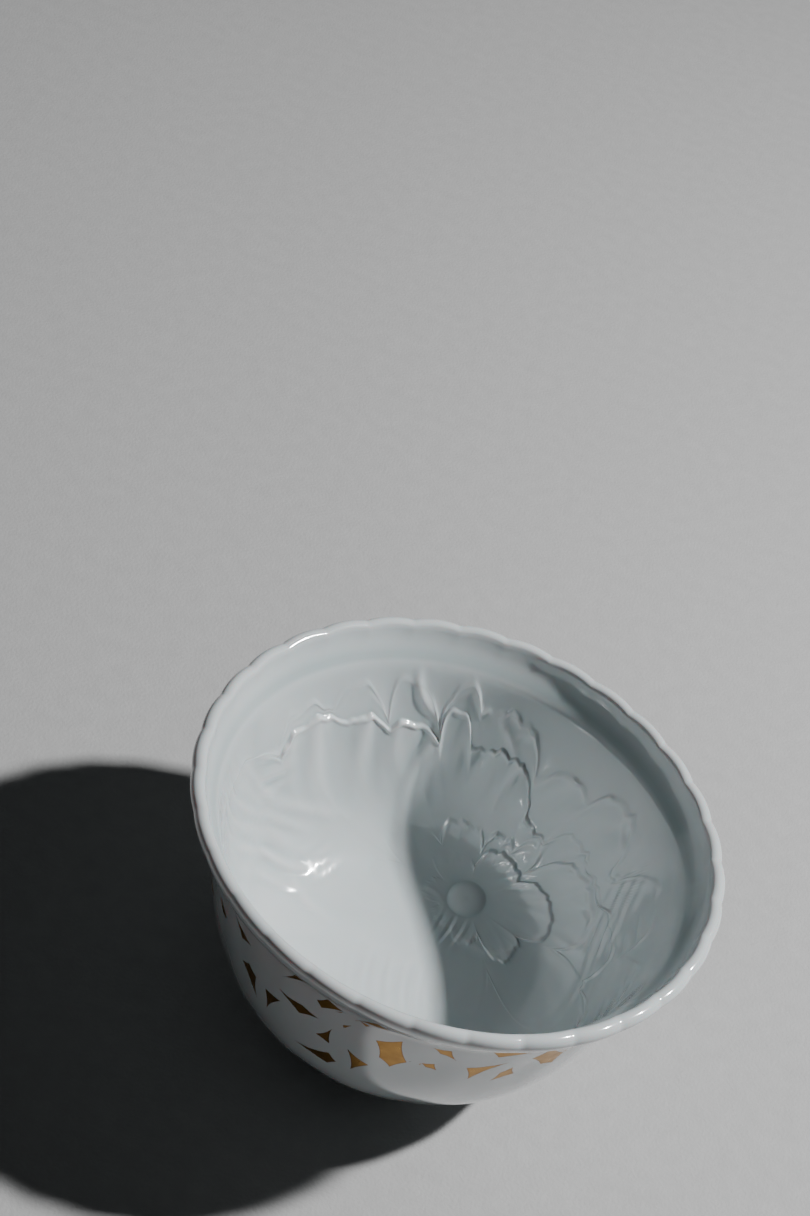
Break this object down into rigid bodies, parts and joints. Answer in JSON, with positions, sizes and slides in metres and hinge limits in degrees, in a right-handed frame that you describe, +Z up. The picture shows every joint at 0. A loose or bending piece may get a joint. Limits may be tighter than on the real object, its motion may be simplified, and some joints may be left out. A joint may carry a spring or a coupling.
{
  "type": "porcelain tea bowl",
  "caption": "Round porcelain tea bowl with a flared scalloped mouth, a blossom in low relief inside, gold chips on the outside and a low foot ring; it has no lid.",
  "frame": {"origin": "middle of the foot ring's underside, on the surface the bowl stands on", "axes": "+Z up along the bowl's axis; +Y towards the side of the inside that the picture shows, +X to its right"},
  "size_m": [0.0998, 0.0998, 0.055],
  "materials": {
    "glaze": "glossy clear glaze over white porcelain, with flat gold chips fired on the outside"
  },
  "bodies": {
    "root": {"tea_bowl": "glaze"}
  },
  "joints": []
}
